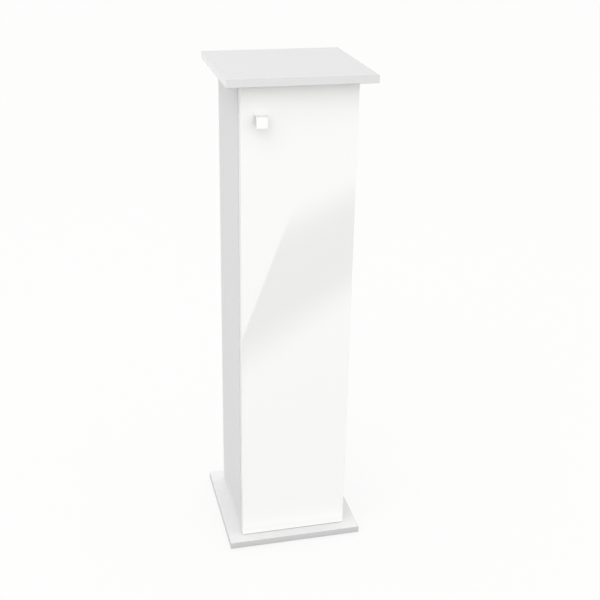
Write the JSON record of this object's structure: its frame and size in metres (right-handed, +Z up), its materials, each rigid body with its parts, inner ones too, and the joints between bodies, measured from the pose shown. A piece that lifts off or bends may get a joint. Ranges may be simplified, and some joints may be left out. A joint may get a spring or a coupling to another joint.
{
  "type": "display plinth",
  "caption": "Tall slim white cupboard plinth: square overhanging top and base plates, a hinged full-height door with a square knob, and shelves inside.",
  "frame": {"origin": "centre of the underside, on the plane that the glides rest on", "axes": "+Z up; -Y out of the door's front face; the door's pivots are on the +X side and its knob on the -X side"},
  "size_m": [0.315, 0.315, 1.1145],
  "materials": {
    "back_white": "white faced hardboard",
    "buffer_rubber": "translucent soft bumper",
    "bush_plastic": "nylon bush",
    "cam_zinc": "die-cast zinc",
    "cap_plastic": "white push-on cover cap",
    "catch_plastic": "white plastic housing",
    "door_white": "glossy white lacquered fibreboard",
    "dowel_wood": "fluted beech",
    "fitting_steel": "zinc-plated steel",
    "glide_plastic": "nail-on plastic glide",
    "knob_white": "glossy white moulding",
    "magnet_dark": "ferrite magnet",
    "panel_white": "white melamine-faced chipboard with plastic edge bands",
    "pin_steel": "nickel-plated steel",
    "plate_white": "white melamine-faced chipboard with plastic edge bands",
    "shelf_white": "white melamine-faced chipboard with plastic edge bands"
  },
  "bodies": {
    "cabinet": {"back_panel": "back_white", "base_cam_bolts": "fitting_steel", "base_cam_caps": "cap_plastic", "base_cams": "cam_zinc", "base_dowels": "dowel_wood", "base_plate": "plate_white", "catch_body": "catch_plastic", "catch_magnet": "magnet_dark", "catch_poles": "fitting_steel", "catch_screws": "fitting_steel", "door_buffer_base": "buffer_rubber", "door_buffer_top": "buffer_rubber", "fixed_shelf": "shelf_white", "glide_front_left": "glide_plastic", "glide_front_right": "glide_plastic", "glide_rear_left": "glide_plastic", "glide_rear_right": "glide_plastic", "lower_shelf": "shelf_white", "lower_shelf_pin_front_left": "pin_steel", "lower_shelf_pin_front_right": "pin_steel", "lower_shelf_pin_rear_left": "pin_steel", "lower_shelf_pin_rear_right": "pin_steel", "pivot_bush_base": "bush_plastic", "pivot_bush_top": "bush_plastic", "shelf_cam_bolts": "fitting_steel", "shelf_cam_caps": "cap_plastic", "shelf_cams": "cam_zinc", "shelf_dowels": "dowel_wood", "side_panel_left": "panel_white", "side_panel_right": "panel_white", "top_cam_bolts": "fitting_steel", "top_cam_caps": "cap_plastic", "top_cams": "cam_zinc", "top_dowels": "dowel_wood", "top_plate": "plate_white", "upper_shelf": "shelf_white", "upper_shelf_pin_front_left": "pin_steel", "upper_shelf_pin_front_right": "pin_steel", "upper_shelf_pin_rear_left": "pin_steel", "upper_shelf_pin_rear_right": "pin_steel"},
    "door": {"door_panel": "door_white", "door_knob": "knob_white", "knob_screw": "fitting_steel", "pivot_pin_top": "fitting_steel", "pivot_pin_base": "fitting_steel", "catch_strike": "fitting_steel", "strike_screw": "fitting_steel"}
  },
  "joints": [
    {"name": "door_swing", "type": "hinge", "parent": "cabinet", "child": "door", "pos_m": [0.116, -0.12, 0.5585], "axis": [0, 0, 1], "range_deg": [0, 105]}
  ]
}
